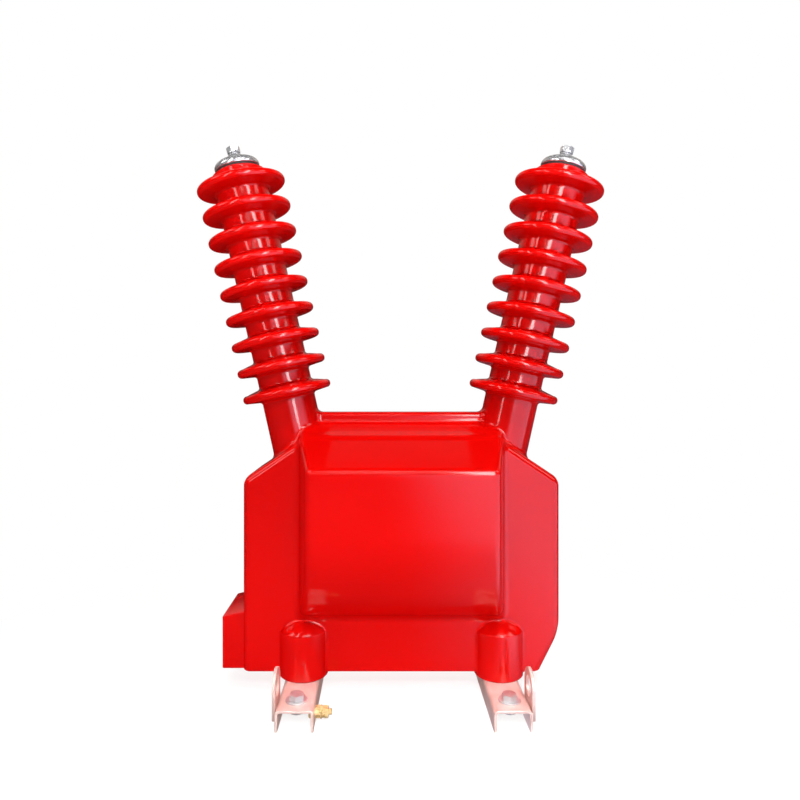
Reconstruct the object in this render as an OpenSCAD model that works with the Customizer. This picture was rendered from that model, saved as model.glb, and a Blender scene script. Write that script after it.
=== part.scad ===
// Outdoor voltage transformer: one red resin casting with two leaning shed insulators,
// standing on two folded steel channels. Millimetres, +Z up, the front faces -Y.
// The origin is on the ground, under the middle of the casting.

/* [Base channels] */
// Length of a channel, front to back
channel_l = 228; // [215:1:300]
// Outside width of a channel
channel_w = 36; // [34:0.5:50]
// Height of a channel
channel_h = 20; // [18:0.5:40]
// Thickness of the folded sheet
channel_t = 2.5; // [2:0.1:3]
// Inside radius of the folds
fold_r = 2; // [1:0.1:4]
// Distance between the centre lines of the channels
channel_pitch = 203; // [190:1:212]
// Distance of the end bolts and ears from the channel's ends
end_inset = 20; // [18:0.5:24]

/* [Lifting ears] */
// Thickness of an ear plate
ear_t = 3; // [2:0.1:5]
// Width of an ear plate
ear_w = 34; // [30:0.5:38]
// Diameter of the lifting hole
ear_hole_d = 19; // [12:0.5:22]
// Height of the lifting hole above the channel's top
ear_rise = 14; // [12:0.5:20]
// Length of the ear that is welded to the channel's side
ear_lap = 11; // [8:0.5:15]

/* [Casting] */
// Width of the slab at its front and back faces
slab_w = 313.5; // [300:0.5:340]
// Thickness of the slab
slab_t = 88; // [84:1:100]
// Height of the slab's underside above the feet
slab_lift = 4.5; // [3:0.5:8]
// How far the slab's rim stands out from its faces
rim_out = 7; // [3:0.5:8]
// Depth of the rounding between a face and the rim
rim_depth = 7.5; // [5:0.5:8]
// Height of the shoulder's outer end above the feet
shoulder_h = 199; // [180:1:215]
// Slope of the shoulders
shoulder_slope = 33.7; // [25:0.1:40]
// Width of the cut-off lower corner, opposite the terminal box
corner_cut_w = 20.5; // [10:0.5:30]
// Height of the cut-off lower corner
corner_cut_h = 40.8; // [15:0.2:50]
// Radius of the slab's corners
slab_corner_r = 6; // [2:0.5:10]
// Diameter of a foot
foot_d = 48; // [40:0.5:52]
// Distance of a foot's axis from the middle plane
foot_y = 35; // [33:0.5:42]
// Height of a foot up to its dome
foot_h = 46.5; // [38:0.5:60]
// Rise of the foot's dome
foot_dome = 12.5; // [5:0.5:16]

/* [Coil housing] */
// Height of the coil's axis above the feet
coil_h = 156; // [150:1:165]
// Radius of the housing round the coil
housing_r = 104; // [98:1:110]
// Width of the housing where it leaves the slab
housing_root_w = 211; // [200:1:216]
// Width of the housing at its front and back
housing_front_w = 184; // [170:0.5:195]
// Height of the roof's eaves above the coil's axis
eaves_h = 64.8; // [55:0.2:75]
// Height of the roof's top above the coil's axis
roof_h = 103.2; // [95:0.2:108]
// Radius of the housing's outer edges
housing_edge_r = 5; // [2:0.5:8]
// Thickness of the ridge between the insulators
ridge_t = 20; // [12:0.5:30]
// Height of the ridge above the roof
ridge_h = 11; // [6:0.5:16]

/* [Insulators] */
// Lean of each insulator from the vertical
lean = 12.6; // [8:0.1:16]
// Distance between the two axes at the lowest sheds
insulator_spread = 248; // [236:1:260]
// Height of the lowest shed above the feet
shed_h = 292.3; // [285:0.1:310]
// Height above the coil's axis down to which the stems reach in the resin
stem_root_h = 58; // [52:1:64]
// Number of sheds
shed_count = 9; // [5:1:11]
// Distance from shed to shed
shed_pitch = 28.8; // [24:0.1:34]
// Diameter over the sheds
shed_d = 96; // [84:0.5:104]
// Diameter of the stem between the sheds
stem_d = 57.5; // [50:0.5:62]
// Thickness of a shed at its rim
shed_rim_t = 8.8; // [6:0.2:10]
// Thickness of a shed at the stem, above its middle
shed_root_up = 8.5; // [6:0.1:10]
// Thickness of a shed at the stem, below its middle
shed_root_down = 6.2; // [5.5:0.1:8]
// Size of the flare where a shed leaves the stem
shed_flare = 3; // [1:0.1:4]
// Height of the end stub above the top shed
stub_h = 17.5; // [14:0.5:24]
// Diameter of the end stub
stub_d = 50; // [49:0.5:54]

/* [Line terminals] */
// Diameter of a terminal cap
cap_d = 49; // [40:0.5:49]
// Height of a terminal cap
cap_h = 11; // [8:0.5:16]
// Height of the cap's straight rim
cap_rim_h = 2.5; // [1.5:0.1:5]
// Thickness of the gasket under the cap
cap_gasket_t = 2.5; // [1.5:0.1:4]
// Diameter of the line bolt
line_bolt_d = 8; // [6:1:10]
// Length of the line bolt's thread inside the insert
line_thread_l = 18; // [12:1:24]
// Width across the flats of the hexagonal brass insert
insert_af = 26; // [20:0.5:30]
// Length of the brass insert
insert_l = 40; // [32:1:50]
// Lower diameter of the cone washer
cone_d = 18.6; // [16:0.2:20]
// Upper diameter of the cone washer
cone_top_d = 12; // [11.5:0.1:15]
// Height of the cone washer
cone_h = 6.5; // [4:0.1:9]

/* [Coil and core] */
// Height of the core's limbs
limb_h = 40; // [34:0.5:42]
// Stacking depth of the core
core_stack = 44; // [36:0.5:45]
// Wall of the bobbin at the core's corners
bobbin_wall = 6.3; // [4:0.1:8]
// Length of the bobbin
bobbin_l = 150; // [130:1:152]
// How far the bobbin stands out of the windings
bobbin_out = 3; // [2:0.5:6]
// Build of the secondary winding
secondary_t = 7; // [5:0.1:9]
// Thickness of the insulation between the windings
barrier_t = 5; // [3:0.1:6]
// Build of the primary winding
primary_t = 34; // [26:0.1:35]
// Length of the primary winding's outermost layer
primary_top_l = 110; // [90:1:125]
// Resin between the coil's end and the yoke
yoke_gap = 11; // [6:0.5:14]
// Resin between the coil and the lower limb
return_gap = 18; // [12:0.5:20]
// Thickness of a core band
band_t = 1; // [0.6:0.1:1.5]
// Width of a core band
band_w = 20; // [12:1:30]
// Distance between the core bands
band_pitch = 70; // [50:1:100]
// Diameter of the line leads
lead_d = 8; // [5:0.5:10]
// Height of the lead's elbow above the coil's axis
elbow_h = 89; // [84:0.5:94]
// Distance between the ends of the leads on the coil
lead_pitch = 90; // [60:1:105]
// Diameter of the secondary leads
thin_lead_d = 3; // [2:0.2:3.6]

/* [Terminal box] */
// Width of the cover, front to back
box_w = 72.5; // [64:0.5:73]
// How far the cover stands out from the casting
box_out = 22.75; // [20:0.25:30]
// Height of the cover's underside above the feet
box_lift = 4.5; // [2.5:0.5:10]
// Height of the cover's outer wall
box_h = 54.5; // [48:0.5:70]
// Rise of the cover's roof towards the casting
box_roof_rise = 5; // [2:0.2:10]
// Wall of the cover
box_wall = 3; // [2:0.1:4]
// Thickness of the gasket in the cover's rim
box_gasket_t = 1.5; // [1:0.1:2.5]
// Width of the gasket in the cover's rim
box_gasket_w = 1.4; // [1:0.1:1.6]
// Distance between the cover's two screws
box_screw_pitch = 52; // [44:0.5:53]
// Diameter of the cover's screws
box_screw_d = 4; // [3:0.5:5]
// Diameter of the cable bush's bore
cable_bore_d = 9; // [6:0.5:10]
// Diameter of the secondary studs
stud_d = 6; // [4:0.5:6]
// Distance between studs, front to back
stud_pitch_y = 20; // [16:0.5:24]
// Distance between studs, up and down
stud_pitch_z = 20; // [16:0.5:22]
// Length of the studs outside the casting
stud_out = 14; // [11:0.5:15]
// Length of the studs inside the casting
stud_in = 15; // [12:0.5:18]

/* [Fasteners] */
// Diameter of the foot bolts
foot_bolt_d = 12; // [8:1:12]
// Length of the foot bolts inside their inserts
foot_bolt_grip = 22; // [16:1:26]
// Diameter of the foot inserts
foot_insert_d = 18; // [16:0.5:20]
// Length of the foot inserts
foot_insert_l = 34; // [30:1:40]
// Diameter of the end bolts
end_bolt_d = 8; // [6:1:10]
// Diameter of the end bolts' wide washers
wide_washer_d = 21; // [18:0.5:24]
// Diameter of the earth bolt
earth_bolt_d = 6; // [5:1:8]
// Height of the earth bolt above the ground
earth_z = 9.5; // [8.5:0.1:10]

/* [Hidden] */

$fn = 64;
SIDES = [-1, 1];
bolt_gap = 0.25;
thread_gap = 0.1;
solder_out = 2;
small_thread_d = 6;
hex_land = 0.95;
hex_chamfer = 30;
foot_edge_r = 3;
shoulder_run_in = 8;
under_edge_r = 3;
soft_edge = 1;
thread_run_out = 2;
cut = 1;
arc_steps = 6;
rim_steps = 4;

resin_red = [0.86, 0.05, 0.04];
steel_grey = [0.78, 0.79, 0.8];
zinc_tint = [0.85, 0.79, 0.72];
brass_tint = [0.83, 0.66, 0.33];
copper_tint = [0.72, 0.42, 0.25];
rubber_black = [0.06, 0.05, 0.05];
iron_dark = [0.3, 0.3, 0.32];
paper_tan = [0.75, 0.65, 0.45];

feet_z = channel_h;
web_under_z = channel_h - channel_t;
channel_x = channel_pitch / 2;
end_y = channel_l / 2 - end_inset;
slab_z = feet_z + slab_lift;
coil_z = feet_z + coil_h;
roof_z = coil_z + roof_h;
slab_side_x = slab_w / 2 + rim_out;

bobbin_r = norm([limb_h, core_stack]) / 2 + bobbin_wall;
secondary_r = bobbin_r + secondary_t;
barrier_r = secondary_r + barrier_t;
primary_r = barrier_r + primary_t;
winding_l = bobbin_l - 2 * bobbin_out;
yoke_x = bobbin_l / 2 + yoke_gap;
lower_limb_top = coil_z - primary_r - return_gap;
lower_limb_z = lower_limb_top - limb_h;

shed_z = feet_z + shed_h;
stub_top = (shed_count - 1) * shed_pitch + stub_h;
stem_sink = (shed_h - coil_h - stem_root_h) / cos(lean);
cap_seat = stub_top + cap_gasket_t;
cap_top = cap_seat + cap_h;
elbow_s = (coil_z + elbow_h - shed_z) / cos(lean);
elbow_x = insulator_spread / 2 + elbow_s * sin(lean);

box_x = -slab_side_x;
box_face_x = -slab_side_x - box_out;
box_mid_x = (box_x + box_face_x + box_wall) / 2;
box_z = feet_z + box_lift;
box_mid_z = box_z + box_h / 2;
stud_mid_z = box_mid_z;
stud_places = [for (y = SIDES, z = SIDES) [y * stud_pitch_y / 2, stud_mid_z + z * stud_pitch_z / 2]];

// Bolt proportions, all worked out from the thread diameter
function head_af(d) = d <= small_thread_d ? 1.667 * d : 1.55 * d + 0.6;
function head_h(d) = 0.65 * d;
function nut_h(d) = 0.82 * d;
function washer_d(d) = 2.05 * d;
function washer_t(d) = 0.14 * d + 0.4;
function spring_d(d) = 1.75 * d;
function spring_t(d) = 0.2 * d + 0.3;

// Points of an arc that rounds the corner b between its neighbours a and c
function unit(v) = v / norm(v);
function corner(a, b, c, r) = r <= 0 ? [b] :
    let (u = unit(a - b), v = unit(c - b), half = acos(u * v) / 2)
    let (o = b + unit(u + v) * r / sin(half), p = b + u * r / tan(half), q = b + v * r / tan(half))
    let (start = atan2(p.y - o.y, p.x - o.x), stop = atan2(q.y - o.y, q.x - o.x))
    let (sweep = atan2(sin(stop - start), cos(stop - start)))
    [for (i = [0:arc_steps]) let (a = start + sweep * i / arc_steps) o + r * [cos(a), sin(a)]];
function rounded(pts, radii) = let (n = len(pts))
    [for (i = [0:n - 1]) each corner(pts[(i + n - 1) % n], pts[i], pts[(i + 1) % n], radii[i])];

// Placing helpers: a profile drawn in XZ pulled along Y, and one drawn in YZ pulled along X
module along_y(length) rotate([90, 0, 0]) linear_extrude(length, center = true) children();
module along_x(length) rotate([90, 0, 90]) linear_extrude(length, center = true) children();
module on_insulator(side) {
    translate([side * insulator_spread / 2, 0, shed_z]) rotate([0, side * lean, 0]) children();
}
module at_feet() for (x = SIDES, y = SIDES) translate([x * channel_x, y * foot_y, 0]) children();
module at_channel_ends() for (x = SIDES, y = SIDES) translate([x * channel_x, y * end_y, 0]) children();

// Plain fastener shapes, standing on z = 0
module disc_ring(outer_d, inner_d, t) {
    difference() {
        cylinder(d = outer_d, h = t);
        translate([0, 0, -cut]) cylinder(d = inner_d, h = t + 2 * cut);
    }
}
// A hexagon whose top corners are turned off, as on a bolt's head
module hex_prism(af, h) {
    corner_r = af / 2 / cos(30);
    turned = (corner_r - hex_land * af / 2) * tan(hex_chamfer);
    intersection() {
        cylinder(r = corner_r, h = h, $fn = 6);
        rotate_extrude() polygon([[0, 0], [corner_r + cut, 0],
            [corner_r + cut, h - turned - cut * tan(hex_chamfer)], [hex_land * af / 2, h], [0, h]]);
    }
}
module split_ring(d) {
    difference() {
        disc_ring(spring_d(d), d + 2 * bolt_gap, spring_t(d));
        translate([0, -d / 16, -cut]) cube([d, d / 8, spring_t(d) + 2 * cut]);
    }
}
module hex_nut(d) {
    difference() {
        hex_prism(head_af(d), nut_h(d));
        translate([0, 0, -cut]) cylinder(d = d + 2 * thread_gap, h = nut_h(d) + 2 * cut);
    }
}
// A bolt whose head sits on z = 0 and whose shank points down
module hex_bolt(d, length) {
    union() {
        hex_prism(head_af(d), head_h(d));
        translate([0, 0, -length]) cylinder(d = d, h = length + head_h(d) / 2);
    }
}

// Front outline of the slab, grown outwards from its faces by out
function slab_outline(out) =
    let (x = slab_w / 2 + out, top_x = housing_root_w / 2 - shoulder_run_in)
    let (rise = out / cos(shoulder_slope) - out * tan(shoulder_slope))
    let (side_z = feet_z + shoulder_h + rise, top_z = side_z + (x - top_x) * tan(shoulder_slope))
    let (cut_l = norm([corner_cut_w, corner_cut_h]), inward = (rim_out - out) * cut_l)
    let (cut_w = corner_cut_w + inward / corner_cut_h - (rim_out - out))
    let (cut_h = cut_w * corner_cut_h / corner_cut_w)
    rounded([[-x, slab_z], [x - cut_w, slab_z], [x, slab_z + cut_h], [x, side_z], [top_x, top_z],
             [-top_x, top_z], [-x, side_z]], [soft_edge, under_edge_r, slab_corner_r, slab_corner_r,
             0, 0, slab_corner_r]);

// The slab's rim is a quarter ellipse, hulled over outlines that grow as they near the middle plane
module slab() {
    hull() for (i = [0:rim_steps]) {
        a = 90 * i / rim_steps;
        along_y(slab_t - 2 * rim_depth * (1 - cos(a))) polygon(slab_outline(rim_out * sin(a)));
    }
}

// The housing is a roofed cylinder along X, tapered in plan
module housing_side() {
    translate([0, coil_z]) intersection() {
        circle(housing_r, $fn = 128);
        translate([-housing_r - cut, -housing_r - cut]) square([2 * (housing_r + cut), housing_r + cut]);
    }
    eaves = coil_z + eaves_h;
    edge_r = housing_edge_r;
    polygon(rounded([[-housing_r, coil_z], [housing_r, coil_z], [housing_r, eaves], [ridge_t / 2, roof_z],
                     [-ridge_t / 2, roof_z], [-housing_r, eaves]], [0, 0, edge_r, 0, 0, edge_r]));
}
module housing_plan() {
    root = housing_root_w / 2;
    front = housing_front_w / 2;
    r = housing_edge_r;
    polygon(rounded([[-root, -slab_t / 2], [-front, -housing_r], [front, -housing_r], [root, -slab_t / 2],
                     [root, slab_t / 2], [front, housing_r], [-front, housing_r], [-root, slab_t / 2]],
                    [0, r, r, 0, 0, r, r, 0]));
}
module coil_housing() {
    intersection() {
        along_x(housing_root_w + cut) housing_side();
        translate([0, 0, slab_z]) linear_extrude(roof_z) housing_plan();
    }
}

// The ridge joins the two insulators along the mould's parting plane
module ridge() {
    ridge_r = ridge_t / 4;
    along_x(insulator_spread - stem_d) polygon(rounded([[-ridge_t / 2, coil_z], [ridge_t / 2, coil_z],
        [ridge_t / 2, roof_z + ridge_h], [-ridge_t / 2, roof_z + ridge_h]], [0, 0, ridge_r, ridge_r]));
}

// A foot is a round pillar, half sunk in the slab, with a domed top and a softened edge
module foot() {
    r = foot_d / 2;
    dome_r = (r * r + foot_dome * foot_dome) / (2 * foot_dome);
    dome_half = asin(r / dome_r);
    dome = [for (i = [0:2 * arc_steps]) let (a = dome_half * (1 - i / (2 * arc_steps)))
        [dome_r * sin(a), feet_z + foot_h + foot_dome - dome_r * (1 - cos(a))]];
    softened = corner([r, feet_z], dome[0], dome[3], foot_edge_r);
    dome_rest = [for (p = dome) if (p.x < softened[arc_steps].x) p];
    rotate_extrude() polygon(concat([[0, feet_z], [r - soft_edge, feet_z], [r, feet_z + soft_edge]],
        softened, dome_rest));
}

// One shed in section: a sloped plate with a flare at the stem and a full round rim
module shed_section() {
    rim_r = shed_rim_t / 2;
    rim_x = shed_d / 2 - rim_r;
    stem_r = stem_d / 2;
    polygon([[stem_r - cut, -shed_root_down - shed_flare / 2], [stem_r, -shed_root_down - shed_flare / 2],
             [stem_r + shed_flare, -shed_root_down + shed_flare / 3], [rim_x, -rim_r], [rim_x, rim_r],
             [stem_r + shed_flare, shed_root_up - shed_flare / 2], [stem_r, shed_root_up + shed_flare / 2],
             [stem_r - cut, shed_root_up + shed_flare / 2]]);
    translate([rim_x, 0]) circle(rim_r);
}
module insulator() {
    rotate_extrude() {
        translate([0, -stem_sink]) square([stem_d / 2, stem_sink + (shed_count - 1) * shed_pitch]);
        square([stub_d / 2, stub_top]);
        for (i = [0:shed_count - 1]) translate([0, i * shed_pitch]) shed_section();
    }
}

// What the resin is poured round
module coil_envelope() {
    half = bobbin_l / 2;
    wound = winding_l / 2;
    top = primary_top_l / 2;
    translate([0, 0, coil_z]) rotate([0, 90, 0]) rotate_extrude() polygon([[0, -half], [bobbin_r, -half],
        [bobbin_r, -wound], [barrier_r, -wound], [primary_r, -top], [primary_r, top], [barrier_r, wound],
        [bobbin_r, wound], [bobbin_r, half], [0, half]]);
}
module insert_blank() {
    translate([0, 0, stub_top - insert_l]) cylinder(d = insert_af / cos(30), h = insert_l, $fn = 6);
}
module foot_insert_blank() translate([0, 0, feet_z]) cylinder(d = foot_insert_d, h = foot_insert_l);

module resin_casting() {
    color(resin_red) difference() {
        union() {
            slab();
            coil_housing();
            ridge();
            at_feet() foot();
            for (side = SIDES) on_insulator(side) insulator();
        }
        coil_envelope();
        core_frame();
        core_bands();
        for (side = SIDES) {
            on_insulator(side) insert_blank();
            line_lead(side);
        }
        at_feet() foot_insert_blank();
        at_box_screws() box_insert_blank();
        at_studs() stud_root();
        secondary_leads();
    }
}

// The core is a closed frame: its upper limb carries the coil, its lower limb runs under it
module core_frame() {
    along_y(core_stack) difference() {
        translate([-yoke_x - limb_h, lower_limb_z])
            square([2 * (yoke_x + limb_h), coil_z + limb_h / 2 - lower_limb_z]);
        translate([-yoke_x, lower_limb_top]) square([2 * yoke_x, coil_z - limb_h / 2 - lower_limb_top]);
    }
}
module laminated_core() color(iron_dark) core_frame();

module core_bands() {
    color(steel_grey) for (x = SIDES) translate([x * band_pitch / 2, 0, 0]) along_x(band_w) difference() {
        translate([-core_stack / 2 - band_t, lower_limb_z - band_t])
            square([core_stack + 2 * band_t, limb_h + 2 * band_t]);
        translate([-core_stack / 2, lower_limb_z]) square([core_stack, limb_h]);
    }
}

module winding_tube(inner_r, outer_r, length) {
    rotate([0, 90, 0]) translate([0, 0, -length / 2]) disc_ring(2 * outer_r, 2 * inner_r, length);
}
module winding_bobbin() {
    color(paper_tan) translate([0, 0, coil_z]) difference() {
        rotate([0, 90, 0]) cylinder(r = bobbin_r, h = bobbin_l, center = true);
        cube([bobbin_l + 2 * cut, core_stack, limb_h], center = true);
    }
}
module secondary_winding() {
    color(copper_tint) translate([0, 0, coil_z]) winding_tube(bobbin_r, secondary_r, winding_l);
}
module insulation_barrier() {
    color(paper_tan) translate([0, 0, coil_z]) winding_tube(secondary_r, barrier_r, winding_l);
}
// The primary's layers get shorter outwards, so its ends are tapered
module primary_winding() {
    wound = winding_l / 2;
    top = primary_top_l / 2;
    color(copper_tint) translate([0, 0, coil_z]) rotate([0, 90, 0]) rotate_extrude()
        polygon([[barrier_r, -wound], [primary_r, -top], [primary_r, top], [barrier_r, wound]]);
}

// A rod from point a to point b
module rod(a, b, d) {
    v = b - a;
    translate(a) rotate([0, acos(v.z / norm(v)), atan2(v.y, v.x)]) cylinder(d = d, h = norm(v));
}
// The lead runs down the insulator, along under the roof and down onto the coil, with soldered balls
// at its two turns
module line_lead(side) {
    elbow = [side * elbow_x, 0, coil_z + elbow_h];
    turn = [side * lead_pitch / 2, 0, coil_z + elbow_h];
    coil_end = [turn.x, 0, coil_z + primary_r - lead_d / 2];
    color(copper_tint) difference() {
        union() {
            on_insulator(side) translate([0, 0, elbow_s])
                cylinder(d = lead_d, h = stub_top - insert_l - elbow_s);
            for (ball = [elbow, turn]) translate(ball) sphere(d = lead_d + solder_out);
            rod(elbow, turn, lead_d);
            rod(turn, coil_end, lead_d);
        }
        translate([0, 0, coil_z]) rotate([0, 90, 0])
            cylinder(r = primary_r, h = primary_top_l, center = true);
    }
}

// Line terminal pieces, stacked along the insulator's axis
module terminal_insert(side) {
    color(brass_tint) on_insulator(side) difference() {
        insert_blank();
        translate([0, 0, stub_top - line_thread_l - thread_run_out])
            cylinder(d = line_bolt_d + 2 * thread_gap, h = line_thread_l + thread_run_out + cut);
    }
}
module terminal_gasket(side) {
    color(rubber_black) on_insulator(side) translate([0, 0, stub_top])
        disc_ring(cap_d - 2 * soft_edge, line_bolt_d + 2 * bolt_gap, cap_gasket_t);
}
module terminal_cap(side) {
    r = cap_d / 2;
    hole_r = line_bolt_d / 2 + bolt_gap;
    flat_r = cone_d / 2;
    dome = [for (i = [0:2 * arc_steps]) let (a = 90 * i / (2 * arc_steps))
        [flat_r + (r - flat_r) * cos(a), cap_rim_h + (cap_h - cap_rim_h) * sin(a)]];
    section = concat([[hole_r, 0], [r - soft_edge, 0], [r, soft_edge]], dome, [[hole_r, cap_h]]);
    color(steel_grey) on_insulator(side) translate([0, 0, cap_seat]) rotate_extrude() polygon(section);
}
module cone_washer(side) {
    color(steel_grey) on_insulator(side) translate([0, 0, cap_top]) difference() {
        cylinder(d1 = cone_d, d2 = cone_top_d, h = cone_h);
        translate([0, 0, -cut]) cylinder(d = line_bolt_d + 2 * bolt_gap, h = cone_h + 2 * cut);
    }
}
module line_spring_washers() {
    color(steel_grey) for (side = SIDES) on_insulator(side)
        translate([0, 0, cap_top + cone_h]) split_ring(line_bolt_d);
}
module line_bolts() {
    head_z = cap_top + cone_h + spring_t(line_bolt_d);
    color(steel_grey) for (side = SIDES) on_insulator(side)
        translate([0, 0, head_z]) hex_bolt(line_bolt_d, head_z - stub_top + line_thread_l);
}

// A channel is one folded sheet, with holes for the feet, the ends and the earth bolt
module base_channel(side, earthed) {
    w = channel_w / 2;
    outer_r = fold_r + channel_t;
    color(zinc_tint) difference() {
        translate([side * channel_x, 0, 0]) along_y(channel_l) polygon(rounded(
            [[-w, 0], [-w + channel_t, 0], [-w + channel_t, web_under_z], [w - channel_t, web_under_z],
             [w - channel_t, 0], [w, 0], [w, channel_h], [-w, channel_h]],
            [0, 0, fold_r, fold_r, 0, 0, outer_r, outer_r]));
        at_feet() cylinder(d = foot_bolt_d + 2 * bolt_gap, h = channel_h + cut);
        at_channel_ends() cylinder(d = end_bolt_d + 2 * bolt_gap, h = channel_h + cut);
        if (earthed) at_earth() translate([0, 0, -channel_t - cut])
            cylinder(d = earth_bolt_d + 2 * bolt_gap, h = channel_t + 2 * cut);
    }
}

// An ear is a round-topped plate welded to the channel's outer side
module lifting_ear(side, end) {
    hole_z = channel_h + ear_rise;
    foot_z = channel_h - ear_lap;
    plate_x = side * (channel_x + channel_w / 2 + ear_t / 2);
    color(zinc_tint) translate([plate_x, end * end_y, 0]) along_x(ear_t) difference() {
        union() {
            translate([0, hole_z]) circle(d = ear_w);
            translate([-ear_w / 2, foot_z]) square([ear_w, hole_z - foot_z]);
        }
        translate([0, hole_z]) circle(d = ear_hole_d);
    }
}

// Foot fixings: bolts come up through the web into inserts in the feet
foot_flat_z = web_under_z - washer_t(foot_bolt_d);
foot_head_z = foot_flat_z - spring_t(foot_bolt_d);
module foot_inserts() {
    color(steel_grey) at_feet() difference() {
        foot_insert_blank();
        translate([0, 0, feet_z - cut]) 
            cylinder(d = foot_bolt_d + 2 * thread_gap, h = foot_bolt_grip + thread_run_out + cut);
    }
}
module foot_flat_washers() {
    color(steel_grey) at_feet() translate([0, 0, foot_flat_z])
        disc_ring(washer_d(foot_bolt_d), foot_bolt_d + 2 * bolt_gap, washer_t(foot_bolt_d));
}
module foot_spring_washers() {
    color(steel_grey) at_feet() translate([0, 0, foot_head_z]) split_ring(foot_bolt_d);
}
module foot_bolts() {
    color(steel_grey) at_feet() translate([0, 0, foot_head_z]) mirror([0, 0, 1])
        hex_bolt(foot_bolt_d, feet_z + foot_bolt_grip - foot_head_z);
}

// End fixings: short bolts, head up on a wide washer, with a nut under the web
end_head_z = channel_h + washer_t(end_bolt_d);
end_nut_z = web_under_z - spring_t(end_bolt_d) - nut_h(end_bolt_d);
module end_wide_washers() {
    color(steel_grey) at_channel_ends() translate([0, 0, channel_h])
        disc_ring(wide_washer_d, end_bolt_d + 2 * bolt_gap, washer_t(end_bolt_d));
}
module end_bolts() {
    color(steel_grey) at_channel_ends() translate([0, 0, end_head_z])
        hex_bolt(end_bolt_d, end_head_z - end_nut_z + end_bolt_d / 8);
}
module end_spring_washers() {
    color(steel_grey) at_channel_ends() translate([0, 0, web_under_z - spring_t(end_bolt_d)])
        split_ring(end_bolt_d);
}
module end_nuts() color(steel_grey) at_channel_ends() translate([0, 0, end_nut_z]) hex_nut(end_bolt_d);

// Earth terminal on the left channel's inner side: z = 0 is the side's outer face
earth_washer_z = nut_h(earth_bolt_d);
earth_spring_z = earth_washer_z + washer_t(earth_bolt_d);
earth_outer_nut_z = earth_spring_z + spring_t(earth_bolt_d);
earth_end = earth_outer_nut_z + nut_h(earth_bolt_d) + earth_bolt_d / 2;
module at_earth() translate([-channel_x + channel_w / 2, -end_y, earth_z]) rotate([0, 90, 0]) children();
module earth_bolt() {
    color(brass_tint) at_earth() translate([0, 0, -channel_t]) mirror([0, 0, 1])
        hex_bolt(earth_bolt_d, earth_end + channel_t);
}
module earth_nuts() {
    color(brass_tint) at_earth() for (z = [0, earth_outer_nut_z]) translate([0, 0, z]) hex_nut(earth_bolt_d);
}
module earth_washer() {
    color(brass_tint) at_earth() translate([0, 0, earth_washer_z])
        disc_ring(washer_d(earth_bolt_d), earth_bolt_d + 2 * bolt_gap, washer_t(earth_bolt_d));
}
module earth_spring_washer() {
    color(brass_tint) at_earth() translate([0, 0, earth_spring_z]) split_ring(earth_bolt_d);
}

// Terminal box on the casting's left side. Its pieces stand along -X, away from the casting
screw_boss_wall = 3;
screw_boss_d = box_screw_d + 2 * screw_boss_wall;
screw_head_d = 2 * box_screw_d;
screw_insert_l = 3 * box_screw_d;
module from_side(x) translate([x, 0, 0]) rotate([0, -90, 0]) children();
module at_box_screws() for (y = SIDES) translate([0, y * box_screw_pitch / 2, box_mid_z]) children();
module at_studs() for (place = stud_places) translate([0, place.x, place.y]) children();
module box_insert_blank() {
    from_side(-slab_side_x + screw_insert_l) cylinder(d = 2 * box_screw_d, h = screw_insert_l);
}

module box_profile(inset) {
    root_z = box_z + box_h + box_roof_rise;
    polygon([[box_face_x + inset, box_z + inset], [box_x + inset * 2, box_z + inset],
             [box_x + inset * 2, root_z - inset], [box_face_x + inset, box_z + box_h - inset]]);
}
// The gasket lies in a groove in the middle of the cover's rim
module gasket_ring() {
    outer = (box_wall - box_gasket_w) / 2;
    inner = outer + box_gasket_w;
    roof_drop = box_roof_rise * box_gasket_t / box_out;
    rim_h = box_h + box_roof_rise - roof_drop;
    from_side(box_x) linear_extrude(box_gasket_t) difference() {
        translate([box_z + outer, -box_w / 2 + outer]) square([rim_h - 2 * outer, box_w - 2 * outer]);
        translate([box_z + inner, -box_w / 2 + inner]) square([rim_h - 2 * inner, box_w - 2 * inner]);
    }
}
module box_cover() {
    color(resin_red) difference() {
        union() {
            difference() {
                along_y(box_w) box_profile(0);
                along_y(box_w - 2 * box_wall) box_profile(box_wall);
            }
            at_box_screws() from_side(box_x)
                cylinder(d = screw_boss_d, h = box_x - box_face_x - box_wall / 2);
        }
        at_box_screws() {
            from_side(box_x + cut) cylinder(d = box_screw_d + 2 * bolt_gap, h = box_out);
            from_side(box_face_x + box_screw_d / 2) cylinder(d1 = box_screw_d + 2 * bolt_gap,
                d2 = screw_head_d + 2 * bolt_gap, h = box_screw_d / 2);
        }
        translate([box_mid_x, 0, box_z - cut]) cylinder(d = bush_neck_d, h = box_wall + 2 * cut);
        gasket_ring();
    }
}
module box_gasket() color(rubber_black) gasket_ring();
module box_screw_inserts() {
    color(brass_tint) at_box_screws() difference() {
        box_insert_blank();
        from_side(-slab_side_x + screw_insert_l - thread_run_out)
            cylinder(d = box_screw_d + 2 * thread_gap, h = screw_insert_l);
    }
}
module box_screws() {
    color(steel_grey) at_box_screws() {
        from_side(-slab_side_x + screw_insert_l - 2 * thread_run_out)
            cylinder(d = box_screw_d, h = screw_insert_l - 2 * thread_run_out + box_out - box_screw_d / 4);
        from_side(box_face_x + box_screw_d / 2)
            cylinder(d1 = box_screw_d, d2 = screw_head_d, h = box_screw_d / 2);
    }
}
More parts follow.
